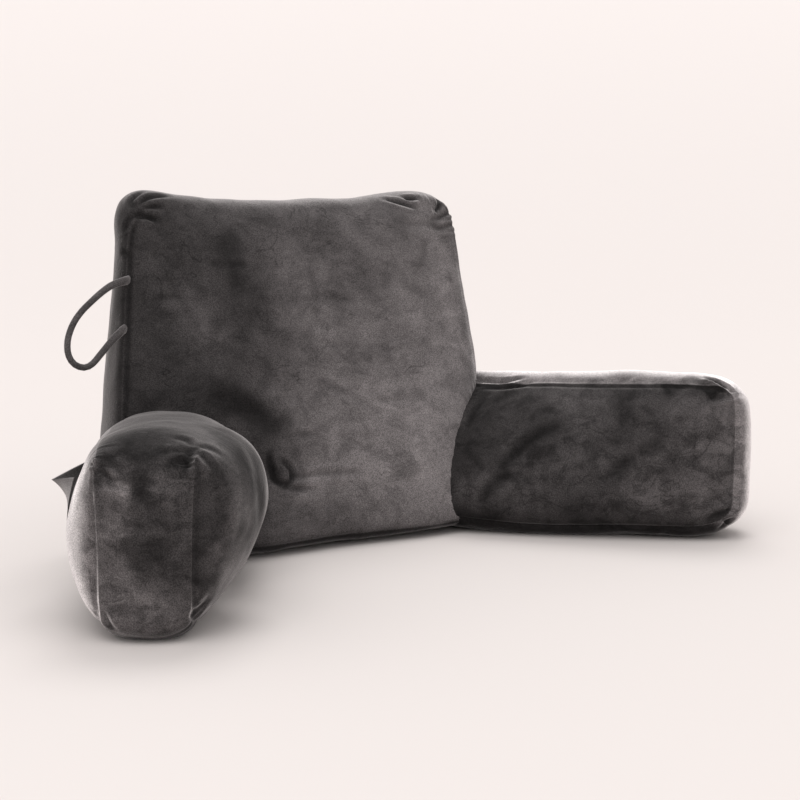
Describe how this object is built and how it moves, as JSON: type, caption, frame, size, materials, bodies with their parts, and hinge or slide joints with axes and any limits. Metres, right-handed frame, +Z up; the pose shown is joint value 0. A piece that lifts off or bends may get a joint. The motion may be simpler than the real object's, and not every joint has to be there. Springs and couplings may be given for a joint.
{
  "type": "reading pillow with arms",
  "caption": "Bed-rest reading pillow in charcoal velvet: a stuffed upright backrest with two stuffed arms reaching forward, a side carry handle and an outer arm pocket.",
  "frame": {"origin": "middle of the pillow's bounding box, on the surface it stands on", "axes": "+X along the pillow's width, towards the arm without the pocket; -Y is the lap side, where the arms reach; +Z up"},
  "size_m": [0.9636, 0.5314, 0.4585],
  "materials": {
    "backrest_velvet": "short-pile velvet, matte",
    "arm_velvet": "short-pile velvet, matte",
    "handle_velvet": "turned velvet strip, matte",
    "pocket_velvet": "velvet panel, matte"
  },
  "bodies": {
    "root": {"backrest": "backrest_velvet", "arm_left": "arm_velvet", "arm_right": "arm_velvet", "handle": "handle_velvet", "pocket": "pocket_velvet"}
  },
  "joints": []
}
